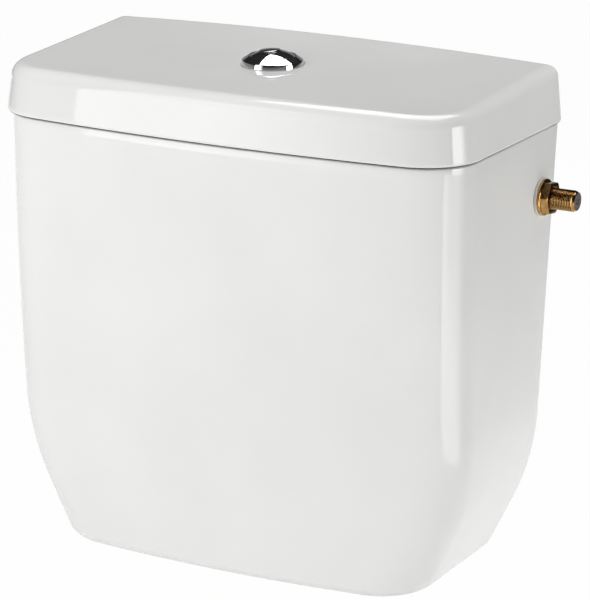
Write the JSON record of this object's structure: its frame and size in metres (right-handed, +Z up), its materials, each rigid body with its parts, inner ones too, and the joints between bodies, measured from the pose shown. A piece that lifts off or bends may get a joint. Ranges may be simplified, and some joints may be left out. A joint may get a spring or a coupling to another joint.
{
  "type": "toilet cistern",
  "caption": "Close-coupled toilet cistern: tapered glazed tank with overhanging lid, dual-flush button, drop valve and side-inlet float valve.",
  "frame": {"origin": "on the outlet axis, midway between the two pan bolt holes, in the plane of the underside of the tank", "axes": "+X to the right seen from the front, towards the water inlet; +Y to the wall behind; +Z up"},
  "size_m": [0.4245, 0.212, 0.4194],
  "materials": {
    "glaze": "gloss white glaze",
    "chrome": "polished plating",
    "white_plastic": "moulded white",
    "grey_plastic": "moulded grey",
    "blue_plastic": "moulded blue",
    "float_plastic": "foam float",
    "rubber": "matt black",
    "brass": "turned brass",
    "steel": "stainless wire and rod"
  },
  "bodies": {
    "cistern": {"tank": "glaze", "flush_valve_seat": "white_plastic", "seat_gasket": "rubber", "outlet_washer": "rubber", "outlet_backnut": "white_plastic", "valve_cage": "grey_plastic", "valve_frame": "grey_plastic", "full_rocker_pin": "steel", "half_rocker_pin": "steel", "inlet_shank": "brass", "inlet_filter": "steel", "inlet_gasket": "rubber", "inlet_washer": "white_plastic", "inlet_nut": "brass", "fill_valve_body": "white_plastic", "diaphragm": "rubber", "fill_valve_cap": "grey_plastic", "arm_pin": "brass", "silencer_tube": "white_plastic"},
    "lid_set": {"lid": "glaze", "button_bezel": "chrome", "bezel_nut": "white_plastic", "full_return_spring": "steel", "half_return_spring": "steel"},
    "full_button": {"full_flush_button": "chrome", "full_push_rod": "white_plastic"},
    "half_button": {"half_flush_button": "chrome", "half_push_rod": "white_plastic"},
    "full_key_body": {"full_key": "blue_plastic"},
    "half_key_body": {"half_key": "blue_plastic"},
    "full_rocker_body": {"full_rocker": "blue_plastic"},
    "half_rocker_body": {"half_rocker": "blue_plastic"},
    "yoke": {"lift_yoke": "grey_plastic"},
    "drop_valve": {"overflow_tube": "white_plastic", "valve_seal": "rubber", "seal_retainer": "white_plastic", "half_flush_float": "float_plastic"},
    "float_set": {"float_arm": "white_plastic", "float_stem": "white_plastic", "stem_nut": "blue_plastic", "float": "float_plastic"},
    "plunger": {"plunger_pin": "brass"}
  },
  "joints": [
    {"name": "lid_lift", "type": "slide", "parent": "cistern", "child": "lid_set", "axis": [0, 0, 1], "range_m": [0, 0.25]},
    {"name": "full_press", "type": "slide", "parent": "lid_set", "child": "full_button", "axis": [0, 0, -1], "range_m": [0, 0.008], "stiffness_N_per_m": 250, "springref_m": -0.004, "deforming": ["full_return_spring"]},
    {"name": "half_press", "type": "slide", "parent": "lid_set", "child": "half_button", "axis": [0, 0, -1], "range_m": [0, 0.008], "stiffness_N_per_m": 250, "springref_m": -0.004, "deforming": ["half_return_spring"]},
    {"name": "full_key_drop", "type": "slide", "parent": "cistern", "child": "full_key_body", "axis": [0, 0, -1], "range_m": [0, 0.008]},
    {"name": "half_key_drop", "type": "slide", "parent": "cistern", "child": "half_key_body", "axis": [0, 0, -1], "range_m": [0, 0.008]},
    {"name": "full_rocker_turn", "type": "hinge", "parent": "cistern", "child": "full_rocker_body", "pos_m": [0.03, 0, 0.26239], "axis": [0, 1, 0], "range_deg": [0, 28.1]},
    {"name": "half_rocker_turn", "type": "hinge", "parent": "cistern", "child": "half_rocker_body", "pos_m": [-0.024, 0, 0.24101], "axis": [0, -1, 0], "range_deg": [0, 28.1]},
    {"name": "yoke_lift", "type": "slide", "parent": "cistern", "child": "yoke", "axis": [0, 0, 1], "range_m": [0, 0.00989]},
    {"name": "valve_lift", "type": "slide", "parent": "yoke", "child": "drop_valve", "axis": [0, 0, 1], "range_m": [0, 0.01553]},
    {"name": "float_swing", "type": "hinge", "parent": "cistern", "child": "float_set", "pos_m": [0.12865, 0.073, 0.2835], "axis": [0, 1, 0], "range_deg": [0, 25]},
    {"name": "plunger_slide", "type": "slide", "parent": "cistern", "child": "plunger", "axis": [1, 0, 0], "range_m": [0, 0.0035]}
  ],
  "couplings": [
    {"joint": "full_key_drop", "follows": "full_press", "ratio": 1},
    {"joint": "full_rocker_turn", "follows": "full_press", "rad_per_m": 61.245},
    {"joint": "valve_lift", "follows": "full_press", "ratio": 1.9412},
    {"joint": "half_key_drop", "follows": "half_press", "ratio": 1},
    {"joint": "half_rocker_turn", "follows": "half_press", "rad_per_m": 61.245},
    {"joint": "yoke_lift", "follows": "half_press", "ratio": 1.2353},
    {"joint": "plunger_slide", "follows": "float_swing", "m_per_rad": 0.008021}
  ]
}
